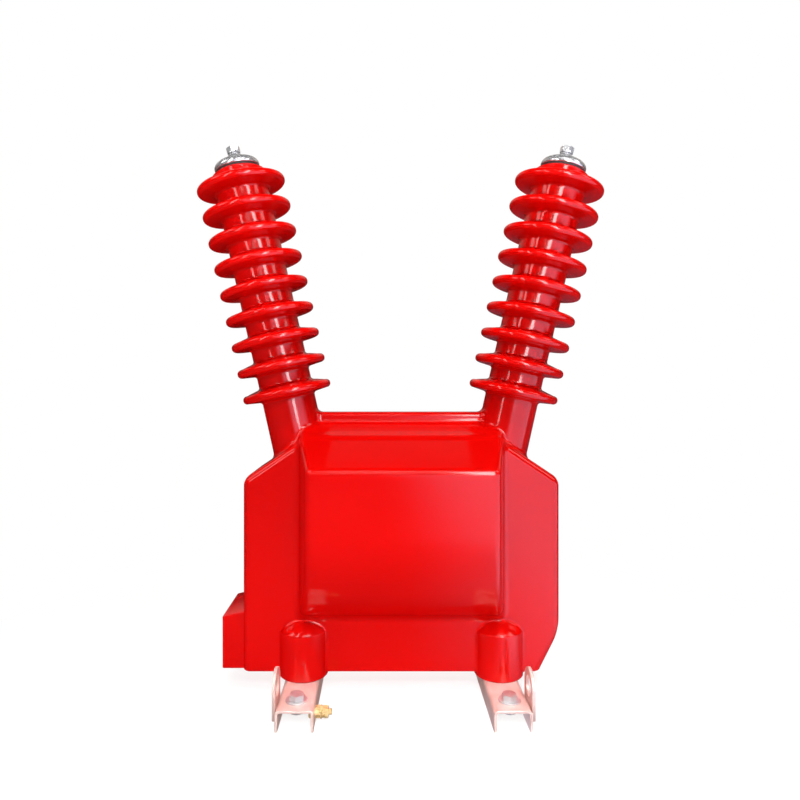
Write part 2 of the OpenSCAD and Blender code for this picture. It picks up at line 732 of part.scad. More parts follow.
// A rubber bush with a groove that holds the cover's bottom wall
bush_wall = 2;
bush_lip_out = 1.5;
bush_lip_t = 2;
bush_neck_d = cable_bore_d + 2 * bush_wall;
bush_lip_d = bush_neck_d + 2 * bush_lip_out;
module cable_bush() {
    bore_r = cable_bore_d / 2;
    lip_r = bush_lip_d / 2;
    neck_r = bush_neck_d / 2;
    top = box_wall + bush_lip_t;
    color(rubber_black) translate([box_mid_x, 0, box_z]) rotate_extrude() polygon([[bore_r, -bush_lip_t],
        [lip_r, -bush_lip_t], [lip_r, 0], [neck_r, 0], [neck_r, box_wall], [lip_r, box_wall],
        [lip_r - soft_edge, top], [bore_r, top]]);
}

module stud_root() {
    from_side(-slab_side_x + stud_in) {
        cylinder(d = 1.7 * stud_d, h = stud_in / 3);
        cylinder(d = stud_d, h = stud_in);
    }
}
module secondary_studs() {
    color(brass_tint) at_studs() {
        stud_root();
        from_side(-slab_side_x) cylinder(d = stud_d, h = stud_out);
    }
}
module secondary_washers() {
    color(brass_tint) at_studs() from_side(-slab_side_x)
        disc_ring(washer_d(stud_d), stud_d + 2 * bolt_gap, washer_t(stud_d));
}
module secondary_nuts() {
    color(brass_tint) at_studs() from_side(-slab_side_x - washer_t(stud_d)) hex_nut(stud_d);
}

// Thin leads from the secondary winding's end, past the yoke, to the studs
module secondary_leads() {
    lead_r = (bobbin_r + secondary_r) / 2;
    turn_x = -slab_side_x + stud_in;
    inner_exit = 46;
    outer_exit = 32;
    color(copper_tint) for (place = stud_places) {
        angle = place.y > stud_mid_z ? inner_exit : outer_exit;
        start = [-winding_l / 2, sign(place.x) * lead_r * cos(angle), coil_z - lead_r * sin(angle)];
        bend = [turn_x + thin_lead_d, start.y, start.z];
        stop = [turn_x + thin_lead_d, place.x, place.y];
        difference() {
            union() {
                rod(start, bend, thin_lead_d);
                for (ball = [bend, stop]) translate(ball) sphere(d = thin_lead_d + solder_out / 2);
                rod(bend, stop, thin_lead_d);
                rod(stop, [turn_x, place.x, place.y], thin_lead_d);
            }
            translate([turn_x - 2 * thin_lead_d, place.x - 2 * thin_lead_d, place.y - 2 * thin_lead_d])
                cube([2 * thin_lead_d, 4 * thin_lead_d, 4 * thin_lead_d]);
        }
    }
}

resin_casting();
laminated_core();
core_bands();
winding_bobbin();
secondary_winding();
insulation_barrier();
primary_winding();
line_lead(-1);  // line_lead_left
line_lead(1);  // line_lead_right
terminal_insert(-1);  // terminal_insert_left
terminal_insert(1);  // terminal_insert_right
terminal_gasket(-1);  // terminal_gasket_left
terminal_gasket(1);  // terminal_gasket_right
terminal_cap(-1);  // terminal_cap_left
terminal_cap(1);  // terminal_cap_right
cone_washer(-1);  // cone_washer_left
cone_washer(1);  // cone_washer_right
line_spring_washers();
line_bolts();
base_channel(-1, true);  // base_channel_left
base_channel(1, false);  // base_channel_right
lifting_ear(-1, -1);  // lifting_ear_front_left
lifting_ear(1, -1);  // lifting_ear_front_right
lifting_ear(-1, 1);  // lifting_ear_rear_left
lifting_ear(1, 1);  // lifting_ear_rear_right
foot_inserts();
foot_bolts();
foot_flat_washers();
foot_spring_washers();
end_bolts();
end_wide_washers();
end_spring_washers();
end_nuts();
earth_bolt();
earth_nuts();
earth_washer();
earth_spring_washer();
box_cover();
box_gasket();
box_screws();
box_screw_inserts();
cable_bush();
secondary_studs();
secondary_washers();
secondary_nuts();
secondary_leads();
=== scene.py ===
import math

import bmesh
import bpy
import numpy as np
from mathutils import Matrix, Vector


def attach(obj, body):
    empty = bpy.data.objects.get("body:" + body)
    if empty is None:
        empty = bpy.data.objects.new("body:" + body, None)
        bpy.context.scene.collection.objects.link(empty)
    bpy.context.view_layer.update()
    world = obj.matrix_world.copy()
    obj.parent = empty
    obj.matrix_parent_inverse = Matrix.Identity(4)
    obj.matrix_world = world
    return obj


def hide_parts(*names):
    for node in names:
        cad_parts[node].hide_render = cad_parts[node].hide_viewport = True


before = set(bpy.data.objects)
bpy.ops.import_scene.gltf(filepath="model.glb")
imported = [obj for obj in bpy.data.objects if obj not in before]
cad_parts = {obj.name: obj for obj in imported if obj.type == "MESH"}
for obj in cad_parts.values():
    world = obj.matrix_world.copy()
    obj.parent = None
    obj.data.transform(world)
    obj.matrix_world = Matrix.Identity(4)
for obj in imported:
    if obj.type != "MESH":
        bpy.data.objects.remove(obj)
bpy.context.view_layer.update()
MM = 0.001

# Base channels: two lengths of zinc-plated steel sheet, folded to an upside-down U.
# The folds are rounded and the sawn ends have a slight burr taken off. The feet bolt down on them.
zinc = bpy.data.materials.new("zinc plated steel")
zinc.use_nodes = True
nt = zinc.node_tree
shader = nt.nodes["Principled BSDF"]
shader.inputs["Metallic"].default_value = 0.3
coords = nt.nodes.new("ShaderNodeTexCoord")
grain = nt.nodes.new("ShaderNodeMapping")
grain.inputs["Scale"].default_value = (900, 30, 900)
rolled = nt.nodes.new("ShaderNodeTexNoise")
rolled.inputs["Scale"].default_value = 1.0
rolled.inputs["Detail"].default_value = 4.0
cloud = nt.nodes.new("ShaderNodeTexNoise")
cloud.inputs["Scale"].default_value = 45.0
cloud.inputs["Detail"].default_value = 5.0
tint = nt.nodes.new("ShaderNodeValToRGB")
tint.color_ramp.elements[0].position = 0.35
tint.color_ramp.elements[0].color = (0.72, 0.48, 0.42, 1)
tint.color_ramp.elements[1].position = 0.65
tint.color_ramp.elements[1].color = (0.84, 0.62, 0.57, 1)
rough = nt.nodes.new("ShaderNodeMapRange")
rough.inputs["To Min"].default_value = 0.24
rough.inputs["To Max"].default_value = 0.40
bump = nt.nodes.new("ShaderNodeBump")
bump.inputs["Strength"].default_value = 0.05
bump.inputs["Distance"].default_value = 0.0004
nt.links.new(coords.outputs["Object"], grain.inputs["Vector"])
nt.links.new(grain.outputs["Vector"], rolled.inputs["Vector"])
nt.links.new(coords.outputs["Object"], cloud.inputs["Vector"])
nt.links.new(cloud.outputs["Fac"], tint.inputs["Fac"])
nt.links.new(tint.outputs["Color"], shader.inputs["Base Color"])
nt.links.new(rolled.outputs["Fac"], rough.inputs["Value"])
nt.links.new(rough.outputs["Result"], shader.inputs["Roughness"])
nt.links.new(rolled.outputs["Fac"], bump.inputs["Height"])
nt.links.new(bump.outputs["Normal"], shader.inputs["Normal"])


def rounded(points, radii, steps=8):
    """A closed or open polyline with each corner turned into an arc of its radius."""
    out = []
    n = len(points)
    for i, r in enumerate(radii):
        b = Vector(points[i])
        if r <= 0:
            out.append(b)
            continue
        u = (Vector(points[i - 1]) - b).normalized()
        v = (Vector(points[(i + 1) % n]) - b).normalized()
        half = u.angle(v) / 2
        centre = b + (u + v).normalized() * (r / math.sin(half))
        start = b + u * (r / math.tan(half)) - centre
        stop = b + v * (r / math.tan(half)) - centre
        turn = math.atan2(start.x * stop.y - start.y * stop.x, start.dot(stop))
        for k in range(steps + 1):
            a = turn * k / steps
            out.append(centre + Vector((start.x * math.cos(a) - start.y * math.sin(a),
                                        start.x * math.sin(a) + start.y * math.cos(a))))
    return out


def new_piece(name, bm, material, smooth_deg=None):
    """A finished mesh object from a bmesh in millimetres, with its normals pointing outwards."""
    bmesh.ops.recalc_face_normals(bm, faces=bm.faces)
    bmesh.ops.transform(bm, matrix=Matrix.Scale(MM, 4), verts=bm.verts)
    mesh = bpy.data.meshes.new(name)
    bm.to_mesh(mesh)
    bm.free()
    mesh.materials.append(material)
    obj = bpy.data.objects.new(name, mesh)
    bpy.context.scene.collection.objects.link(obj)
    if smooth_deg is not None:
        mesh.shade_smooth()
        mesh.set_sharp_from_angle(angle=math.radians(smooth_deg))
    return obj


def settle(obj):
    """Turns the object's modifiers into plain mesh."""
    graph = bpy.context.evaluated_depsgraph_get()
    mesh = bpy.data.meshes.new_from_object(obj.evaluated_get(graph), depsgraph=graph)
    obj.modifiers.clear()
    obj.data = mesh
    return obj


channel_x, channel_half, channel_top, channel_sheet = 101.5, 18.0, 20.0, 2.5
for side, node in ((-1, "base_channel_left"), (1, "base_channel_right")):
    w, height, sheet, fold, length, burr = channel_half, channel_top, channel_sheet, 2.0, 228.0, 0.35
    outline = rounded(
        [(-w, 0), (-w + sheet, 0), (-w + sheet, height - sheet), (w - sheet, height - sheet), (w - sheet, 0),
         (w, 0), (w, height), (-w, height)],
        [0.5, 0.5, fold, fold, 0.5, 0.5, fold + sheet, fold + sheet])
    bm = bmesh.new()
    rings = []
    for y, inset in ((-length / 2, burr), (-length / 2 + burr, 0), (length / 2 - burr, 0), (length / 2, burr)):
        ring = []
        for i, p in enumerate(outline):
            tangent = outline[(i + 1) % len(outline)] - outline[i - 1]
            inward = Vector((-tangent.y, tangent.x)).normalized() * inset
            ring.append(bm.verts.new((side * channel_x + p.x + inward.x, y, p.y + inward.y)))
        rings.append(ring)
    for a, b in zip(rings, rings[1:]):
        for i in range(len(a)):
            j = (i + 1) % len(a)
            bm.faces.new((a[i], a[j], b[j], b[i]))
    for ring in (rings[0], rings[-1]):
        bmesh.ops.triangle_fill(bm, edges=[bm.edges.get((ring[i], ring[i - 1])) for i in range(len(ring))])
    channel = new_piece(node.replace("base_", "folded_"), bm, zinc, 30)
    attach(channel, "root")
    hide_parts(node)

# Lifting ears: four round-topped plates of the same plated sheet, each punched with one large hole.
# They are welded flat against the outer sides of the channels, close to their ends.
spread = bpy.data.node_groups.new("Pieces on a rectangle", "GeometryNodeTree")
spread.is_modifier = True
for label, kind in (("Geometry", "NodeSocketGeometry"), ("Pitch X", "NodeSocketFloat"),
                    ("Pitch Y", "NodeSocketFloat"), ("Height", "NodeSocketFloat"),
                    ("Material", "NodeSocketMaterial")):
    spread.interface.new_socket(label, in_out="INPUT", socket_type=kind)
spread.interface.new_socket("Geometry", in_out="OUTPUT", socket_type="NodeSocketGeometry")
entry = spread.nodes.new("NodeGroupInput")
grid = spread.nodes.new("GeometryNodeMeshGrid")
grid.inputs["Vertices X"].default_value = 2
grid.inputs["Vertices Y"].default_value = 2
lift = spread.nodes.new("ShaderNodeCombineXYZ")
raised = spread.nodes.new("GeometryNodeSetPosition")
copies = spread.nodes.new("GeometryNodeInstanceOnPoints")
solid = spread.nodes.new("GeometryNodeRealizeInstances")
painted = spread.nodes.new("GeometryNodeSetMaterial")
leave = spread.nodes.new("NodeGroupOutput")
spread.links.new(entry.outputs["Pitch X"], grid.inputs["Size X"])
spread.links.new(entry.outputs["Pitch Y"], grid.inputs["Size Y"])
spread.links.new(entry.outputs["Height"], lift.inputs["Z"])
spread.links.new(grid.outputs["Mesh"], raised.inputs["Geometry"])
spread.links.new(lift.outputs["Vector"], raised.inputs["Offset"])
spread.links.new(raised.outputs["Geometry"], copies.inputs["Points"])
spread.links.new(entry.outputs["Geometry"], copies.inputs["Instance"])
spread.links.new(copies.outputs["Instances"], solid.inputs["Geometry"])
spread.links.new(solid.outputs["Geometry"], painted.inputs["Geometry"])
spread.links.new(entry.outputs["Material"], painted.inputs["Material"])
spread.links.new(painted.outputs["Geometry"], leave.inputs["Geometry"])


def place(obj, tree, **inputs):
    """Runs a node tree on a piece with its named inputs and keeps the result as plain mesh."""
    modifier = obj.modifiers.new(tree.name, "NODES")
    modifier.node_group = tree
    sockets = {s.name: s.identifier for s in tree.interface.items_tree if s.in_out == "INPUT"}
    for label, value in inputs.items():
        modifier[sockets[label.replace("_", " ")]] = value
    return settle(obj)


ear_curve = bpy.data.curves.new("ear outline", "CURVE")
ear_curve.dimensions = "2D"
ear_curve.fill_mode = "BOTH"
ear_t, ear_burr = 3.0, 0.35
ear_curve.extrude = (ear_t / 2 - ear_burr) * MM
ear_curve.bevel_depth = ear_burr * MM
ear_curve.bevel_resolution = 2
ear_half, ear_hole_r, ear_hole_z, ear_foot_z = 17.0, 9.5, 34.0, 9.0
end_y = 94.0
plate = rounded([(-ear_half, ear_foot_z), (ear_half, ear_foot_z)], [0, 0])
plate += [Vector((ear_half * math.cos(a), ear_hole_z + ear_half * math.sin(a)))
          for a in (math.pi * k / 32 for k in range(33))]
hole = [Vector((ear_hole_r * math.cos(a), ear_hole_z + ear_hole_r * math.sin(a)))
        for a in (-math.tau * k / 48 for k in range(48))]
for loop, grow in ((plate, -ear_burr), (hole, ear_burr)):
    spline = ear_curve.splines.new("POLY")
    spline.points.add(len(loop) - 1)
    middle = Vector((0, ear_hole_z))
    for point, p in zip(spline.points, loop):
        outward = (p - middle).normalized() * grow
        point.co = ((p.x + outward.x) * MM, (p.y + outward.y) * MM, 0, 1)
    spline.use_cyclic_u = True
ear_shape = bpy.data.objects.new("ear outline", ear_curve)
bpy.context.scene.collection.objects.link(ear_shape)
ear_mesh = bpy.data.meshes.new_from_object(ear_shape.evaluated_get(bpy.context.evaluated_depsgraph_get()))
bpy.data.objects.remove(ear_shape)
ear_mesh.transform(Matrix(((0, 0, 1, 0), (1, 0, 0, 0), (0, 1, 0, 0), (0, 0, 0, 1))))
ears = bpy.data.objects.new("lifting_ears", ear_mesh)
bpy.context.scene.collection.objects.link(ears)
ear_x = channel_x + channel_half + ear_t / 2
place(ears, spread, Pitch_X=2 * ear_x * MM, Pitch_Y=2 * end_y * MM, Height=0.0, Material=zinc)
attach(ears, "root")
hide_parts("lifting_ear_front_left", "lifting_ear_front_right", "lifting_ear_rear_left",
            "lifting_ear_rear_right")

# Foot fixings: bright zinc hexagon bolts with a spring washer and a flat washer, hidden under the channels.
# Each is driven up through the web into a threaded insert in one of the casting's feet.
bright = bpy.data.materials.new("bright zinc fasteners")
bright.use_nodes = True
nt = bright.node_tree
shader = nt.nodes["Principled BSDF"]
shader.inputs["Metallic"].default_value = 0.75
shader.inputs["Base Color"].default_value = (0.72, 0.72, 0.73, 1)
coords = nt.nodes.new("ShaderNodeTexCoord")
speck = nt.nodes.new("ShaderNodeTexNoise")
speck.inputs["Scale"].default_value = 420.0
speck.inputs["Detail"].default_value = 3.0
rough = nt.nodes.new("ShaderNodeMapRange")
rough.inputs["To Min"].default_value = 0.26
rough.inputs["To Max"].default_value = 0.40
nt.links.new(coords.outputs["Object"], speck.inputs["Vector"])
nt.links.new(speck.outputs["Fac"], rough.inputs["Value"])
nt.links.new(rough.outputs["Result"], shader.inputs["Roughness"])


def lathe(bm, profile, segments=64, matrix=None):
    """Adds a turned shape to the bmesh: the profile is a list of radius and height, from the bottom up."""
    rings = []
    made = []
    for r, z in profile:
        if r < 1e-6:
            ring = [bm.verts.new((0, 0, z))]
        else:
            ring = [bm.verts.new((r * math.cos(a), r * math.sin(a), z))
                    for a in (math.tau * k / segments for k in range(segments))]
        rings.append(ring)
        made += ring
    for a, b in zip(rings, rings[1:]):
        for k in range(segments):
            j = (k + 1) % segments
            if len(a) == 1 and len(b) == 1:
                continue
            if len(a) == 1:
                bm.faces.new((a[0], b[j], b[k]))
            elif len(b) == 1:
                bm.faces.new((a[k], a[j], b[0]))
            else:
                bm.faces.new((a[k], a[j], b[j], b[k]))
    if matrix is not None:
        bmesh.ops.transform(bm, matrix=matrix, verts=made)
    return made


def hexagon(bm, flats, height, z=0.0, both_ends=False, bore=0.0, matrix=None):
    """Adds a hexagon head or nut whose corners are turned off by a cone, as on a real one."""
    steps = 72
    land = 0.475 * flats
    slope = math.tan(math.radians(30))
    edge = []
    for k in range(steps):
        a = math.tau * k / steps
        off = (a + math.pi / 6) % (math.pi / 3) - math.pi / 6
        r = flats / 2 / math.cos(off)
        edge.append((a, r, max(0.0, r - land) * slope))
    levels = []
    if bore:
        levels.append([(a, bore, z) for a, r, d in edge])
    levels.append([(a, land, z) for a, r, d in edge] if both_ends else [(a, r - 0.2, z) for a, r, d in edge])
    levels.append([(a, r, z + (d if both_ends else 0.2)) for a, r, d in edge])
    levels.append([(a, r, z + height - d) for a, r, d in edge])
    levels.append([(a, land, z + height) for a, r, d in edge])
    if bore:
        levels.append([(a, bore, z + height) for a, r, d in edge])
    rings = [[bm.verts.new((r * math.cos(a), r * math.sin(a), h)) for a, r, h in level] for level in levels]
    for a, b in zip(rings, rings[1:]):
        for k in range(steps):
            j = (k + 1) % steps
            bm.faces.new((a[k], a[j], b[j], b[k]))
    if bore:
        for k in range(steps):
            j = (k + 1) % steps
            bm.faces.new((rings[-1][k], rings[-1][j], rings[0][j], rings[0][k]))
    else:
        bm.faces.new(list(reversed(rings[0])))
        bm.faces.new(rings[-1])
    made = [v for ring in rings for v in ring]
    if matrix is not None:
        bmesh.ops.transform(bm, matrix=matrix, verts=made)
    return made


def washer(bm, outer, inner, thick, z=0.0, matrix=None):
    """Adds a flat ring with its outer edges broken."""
    edge = 0.2
    lathe(bm, [(inner, z), (outer - edge, z), (outer, z + edge), (outer, z + thick - edge), (outer - edge, z + thick),
               (inner, z + thick), (inner, z)], 64, matrix)


def spring_ring(bm, outer, inner, thick, z=0.0, matrix=None):
    """Adds a split ring: a square wire bent through almost one turn, its ends a little apart in height."""
    steps = 56
    rings = []
    for k in range(steps + 1):
        a = math.radians(6) + math.radians(348) * k / steps
        climb = thick * 0.12 * (k / steps - 0.5)
        low, high = z + thick * 0.06, z + thick * 0.94
        rings.append([bm.verts.new((r * math.cos(a), r * math.sin(a), h + climb))
                      for r, h in ((inner, low), (outer, low), (outer, high), (inner, high))])
    for a, b in zip(rings, rings[1:]):
        for k in range(4):
            j = (k + 1) % 4
            bm.faces.new((a[k], a[j], b[j], b[k]))
    bm.faces.new(list(reversed(rings[0])))
    bm.faces.new(rings[-1])
    made = [v for ring in rings for v in ring]
    if matrix is not None:
        bmesh.ops.transform(bm, matrix=matrix, verts=made)


web_under = channel_top - channel_sheet
foot_y, flat_t, spring_t, head_h = 35.0, 2.08, 2.7, 7.8
for node, label in (("foot_bolts", "bolts"), ("foot_flat_washers", "flat washers"),
                    ("foot_spring_washers", "spring washers")):
    bm = bmesh.new()
    if label == "bolts":
        hexagon(bm, 19.2, head_h, matrix=Matrix.Rotation(math.pi, 4, "X"))
        lathe(bm, [(0, -0.5), (6.0, -0.5), (6.0, 26), (0, 26)], 32)
        top = web_under - flat_t - spring_t
    elif label == "flat washers":
        washer(bm, 12.3, 6.25, flat_t)
        top = web_under - flat_t
    else:
        spring_ring(bm, 10.5, 6.25, spring_t)
        top = web_under - flat_t - spring_t
    piece = new_piece("foot_" + label.replace(" ", "_"), bm, bright, 35)
    place(piece, spread, Pitch_X=2 * channel_x * MM, Pitch_Y=2 * foot_y * MM, Height=top * MM, Material=bright)
    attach(piece, "root")
    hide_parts(node)

# End fixings: short bright bolts through the channels' ends, each head on a wide washer.
# A spring washer and a nut hold it under the web.
wide_t, end_spring_t, end_nut_h = 1.52, 1.9, 6.56
for node, label in (("end_bolts", "bolts"), ("end_wide_washers", "wide washers"),
                    ("end_spring_washers", "spring washers"), ("end_nuts", "nuts")):
    bm = bmesh.new()
    top = channel_top
    if label == "bolts":
        hexagon(bm, 13.0, 5.2, wide_t)
        lathe(bm, [(0, -12), (3.4, -12), (4.0, -11.3), (4.0, wide_t + 1), (0, wide_t + 1)], 32)
    elif label == "wide washers":
        washer(bm, 10.5, 4.25, wide_t)
    elif label == "spring washers":
        top = web_under - end_spring_t
        spring_ring(bm, 7.0, 4.25, end_spring_t)
    else:
        top = web_under - end_spring_t - end_nut_h
        hexagon(bm, 13.0, end_nut_h, both_ends=True, bore=4.1)
    piece = new_piece("end_" + label.replace(" ", "_"), bm, bright, 35)
    place(piece, spread, Pitch_X=2 * channel_x * MM, Pitch_Y=2 * end_y * MM, Height=top * MM, Material=bright)
    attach(piece, "root")
    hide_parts(node)

# Earth terminal: a brass bolt through the left channel's inner side, its head inside the channel.
# One nut locks it, and a flat washer, a spring washer and a second nut wait for the earth lead.
brass = bpy.data.materials.new("plain brass")
brass.use_nodes = True
nt = brass.node_tree
shader = nt.nodes["Principled BSDF"]
shader.inputs["Metallic"].default_value = 0.4
coords = nt.nodes.new("ShaderNodeTexCoord")
stain = nt.nodes.new("ShaderNodeTexNoise")
stain.inputs["Scale"].default_value = 260.0
stain.inputs["Detail"].default_value = 4.0
tint = nt.nodes.new("ShaderNodeValToRGB")
tint.color_ramp.elements[0].position = 0.3
tint.color_ramp.elements[0].color = (0.72, 0.44, 0.16, 1)
tint.color_ramp.elements[1].position = 0.7
tint.color_ramp.elements[1].color = (0.88, 0.68, 0.36, 1)
rough = nt.nodes.new("ShaderNodeMapRange")
rough.inputs["To Min"].default_value = 0.20
rough.inputs["To Max"].default_value = 0.36
nt.links.new(coords.outputs["Object"], stain.inputs["Vector"])
nt.links.new(stain.outputs["Fac"], tint.inputs["Fac"])
nt.links.new(tint.outputs["Color"], shader.inputs["Base Color"])
nt.links.new(stain.outputs["Fac"], rough.inputs["Value"])
nt.links.new(rough.outputs["Result"], shader.inputs["Roughness"])
out_of_side = Matrix.Translation((channel_half - channel_x, -end_y, 9.5)) @ Matrix.Rotation(math.pi / 2, 4, "Y")
nut, flat, split = 4.92, 1.24, 1.5
second = nut + flat + split
for node, label in (("earth_bolt", "bolt"), ("earth_nuts", "nuts"), ("earth_washer", "washer"),
                    ("earth_spring_washer", "spring washer")):
    bm = bmesh.new()
    if label == "bolt":
        inner_side = out_of_side @ Matrix.Translation((0, 0, -channel_sheet))
        hexagon(bm, 10.0, 3.9, matrix=inner_side @ Matrix.Rotation(math.pi, 4, "X"))
        end = second + nut + 3.0
        thread = [(0, -3.0), (3.0, -3.0)]
        turns, lead = 17, 1.0
        for k in range(turns):
            z = end - 0.6 - lead * (turns - k)
            thread += [(3.0, z), (2.62, z + lead / 2)]
        thread += [(3.0, end - 0.6), (2.4, end), (0, end)]
        lathe(bm, thread, 40, out_of_side)
    elif label == "nuts":
        hexagon(bm, 10.0, nut, both_ends=True, bore=3.05, matrix=out_of_side)
        hexagon(bm, 10.0, nut, second, both_ends=True, bore=3.05,
                matrix=out_of_side @ Matrix.Rotation(math.radians(17), 4, "Z"))
    elif label == "washer":
        washer(bm, 6.15, 3.25, flat, nut, out_of_side)
    else:
        spring_ring(bm, 5.25, 3.25, split, nut + flat, out_of_side)
    piece = new_piece("earth_" + label.replace(" ", "_"), bm, brass, 35)
    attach(piece, "root")
    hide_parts(node)

# Casting: one block of red filled epoxy, poured round the core and coil and left with a soft gloss.
# It has a slab with a rounded rim, a roofed coil housing, a ridge, two necks and four domed feet.
resin = bpy.data.materials.new("red cast resin")
resin.use_nodes = True
nt = resin.node_tree
shader = nt.nodes["Principled BSDF"]
shader.inputs["IOR"].default_value = 1.5
shader.inputs["Specular IOR Level"].default_value = 0.35
coords = nt.nodes.new("ShaderNodeTexCoord")
flow = nt.nodes.new("ShaderNodeTexNoise")
flow.inputs["Scale"].default_value = 9.0
flow.inputs["Detail"].default_value = 4.0
tint = nt.nodes.new("ShaderNodeValToRGB")
tint.color_ramp.elements[0].position = 0.3
tint.color_ramp.elements[0].color = (0.53, 0.0010, 0.0005, 1)
tint.color_ramp.elements[1].position = 0.7
tint.color_ramp.elements[1].color = (0.58, 0.0014, 0.0008, 1)
peel = nt.nodes.new("ShaderNodeTexNoise")
peel.inputs["Scale"].default_value = 110.0
peel.inputs["Detail"].default_value = 2.0
rough = nt.nodes.new("ShaderNodeMapRange")
rough.inputs["To Min"].default_value = 0.09
rough.inputs["To Max"].default_value = 0.15
bump = nt.nodes.new("ShaderNodeBump")
bump.inputs["Strength"].default_value = 0.06
bump.inputs["Distance"].default_value = 0.001
nt.links.new(coords.outputs["Object"], flow.inputs["Vector"])
nt.links.new(coords.outputs["Object"], peel.inputs["Vector"])
nt.links.new(flow.outputs["Fac"], tint.inputs["Fac"])
nt.links.new(tint.outputs["Color"], shader.inputs["Base Color"])
nt.links.new(flow.outputs["Fac"], rough.inputs["Value"])
nt.links.new(rough.outputs["Result"], shader.inputs["Roughness"])
nt.links.new(peel.outputs["Fac"], bump.inputs["Height"])
nt.links.new(bump.outputs["Normal"], shader.inputs["Normal"])

lean, neck_x, neck_top = math.radians(12.6), 124.0, 312.3
stem, foot_r, dome_r, dome_z, rim_z = 28.75, 25.2, 31.65, 47.35, 66.5


def fillet(a, b, r):
    """Joins two distance fields with a concave radius."""
    return np.maximum(np.minimum(a, b), r) - np.hypot(np.maximum(r - a, 0), np.maximum(r - b, 0))


def soften(a, b, r):
    """Keeps what lies in both distance fields, with a rounded edge."""
    return np.minimum(np.maximum(a, b), -r) + np.hypot(np.maximum(r + a, 0), np.maximum(r + b, 0))


def casting_field(p):
    """Distance in millimetres from the casting's skin, negative inside the resin."""
    x, y, z = p.T
    w, t = np.abs(x), np.abs(y)
    side_x, shoulder_z, slope = 163.75, 222.75, math.radians(33.7)
    cut_w, cut_h, cut_top = 20.5, 40.8, 65.3
    outline = soften(w - side_x, (w - side_x) * math.sin(slope) + (z - shoulder_z) * math.cos(slope), 6.0)
    corner = ((x - side_x) * cut_h - (z - cut_top) * cut_w) / math.hypot(cut_w, cut_h)
    outline = np.maximum(soften(outline, corner, 6.0), z - 266.0)
    slab = soften(soften(outline, t - 44.0, 7.25), 24.5 - z, 1.5)
    coil_z, eaves_z, roof_z = 176.0, 240.8, 279.2
    barrel = np.hypot(t, np.minimum(z - coil_z, 0)) - 104.0
    pitch = math.atan2(roof_z - eaves_z, 104.0 - 10.0)
    roof = np.maximum((t - 10.0) * math.sin(pitch) + (z - roof_z) * math.cos(pitch), z - roof_z)
    taper = math.atan2(105.5 - 92.0, 104.0 - 44.0)
    flank = np.maximum(w - 105.5, (w - 105.5) * math.cos(taper) + (t - 44.0) * math.sin(taper))
    housing = soften(soften(barrel, roof, 5.0), flank, 6.0)
    ridge = np.maximum(soften(t - 10.0, z - 290.2, 4.5), np.maximum(w - 110.0, 250.0 - z))
    along = (w - neck_x) * math.sin(lean) + (z - neck_top) * math.cos(lean)
    across = (w - neck_x) * math.cos(lean) - (z - neck_top) * math.sin(lean)
    neck = np.maximum(np.hypot(across, y) - stem, np.maximum(along, -85.0 - along))
    under_skin = 0.3
    pillar = np.hypot(w - channel_x, t - foot_y)
    dome = np.hypot(pillar, np.maximum(z - dome_z, 0)) - dome_r
    foot = np.maximum(soften(pillar - foot_r + under_skin, dome + under_skin, 3.0), channel_top + 1.0 - z)
    body = fillet(slab, housing, 6.0)
    body = fillet(body, ridge, 4.0)
    body = fillet(body, neck, 5.0)
    return fillet(body, foot, 2.6)


def field_slope(p):
    """Direction in which the casting's field grows."""
    return np.stack([casting_field(p + e) - casting_field(p - e) for e in np.eye(3) * 0.05], axis=1) / 0.1


cell = 2.0
axes = [np.arange(-168.0, 170.0, cell), np.arange(-109.0, 111.0, cell), np.arange(15.0, 325.0, cell)]
corners = np.stack(np.meshgrid(*axes, indexing="ij"), axis=-1)
inside = (casting_field(corners.reshape(-1, 3)) < 0).reshape(corners.shape[:3])
filled = np.zeros([n - 1 for n in inside.shape], np.int8)
for i in (0, 1):
    for j in (0, 1):
        for k in (0, 1):
            filled += inside[i:i + filled.shape[0], j:j + filled.shape[1], k:k + filled.shape[2]]
skin = (filled > 0) & (filled < 8)
number = np.full(skin.shape, -1)
number[skin] = np.arange(skin.sum())
points = corners[:-1, :-1, :-1][skin] + cell / 2
quads = []
for axis in range(3):
    low = np.moveaxis(inside, axis, 0)[:-1]
    high = np.moveaxis(inside, axis, 0)[1:]
    crossed = np.moveaxis(low != high, 0, axis)
    at = np.argwhere(crossed)
    u, v = np.eye(3, dtype=int)[(axis + 1) % 3], np.eye(3, dtype=int)[(axis + 2) % 3]
    around = np.stack([number[tuple((at - back).T)] for back in (0 * u, u, u + v, v)], axis=1)
    leaves = np.moveaxis(low, 0, axis)[crossed]
    quads.append(np.where(leaves[:, None], around, around[:, ::-1]))
mesh = bpy.data.meshes.new("cast_resin_body")
mesh.from_pydata(points.tolist(), [], np.concatenate(quads).tolist())
links = np.empty(2 * len(mesh.edges), np.int32)
mesh.edges.foreach_get("vertices", links)
a, b = links.reshape(-1, 2).T
count = len(points)
ring = np.bincount(a, minlength=count) + np.bincount(b, minlength=count)
for turn in range(6):
    middle = np.stack([(np.bincount(a, points[b, c], count) + np.bincount(b, points[a, c], count)) / ring
                       for c in range(3)], axis=1)
    points += 0.5 * (middle - points)
    for step in range(2):
        rise = field_slope(points)
        points -= rise * (casting_field(points) / np.maximum((rise ** 2).sum(axis=1), 0.25))[:, None]
mesh.vertices.foreach_set("co", (points * MM).ravel())
mesh.materials.append(resin)
mesh.update()
mesh.shade_smooth()
rise = field_slope(points)
mesh.normals_split_custom_set_from_vertices((rise / np.linalg.norm(rise, axis=1)[:, None]).tolist())
casting = bpy.data.objects.new("cast_resin_body", mesh)
bpy.context.scene.collection.objects.link(casting)
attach(casting, "root")
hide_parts("resin_casting")
bm = bmesh.new()
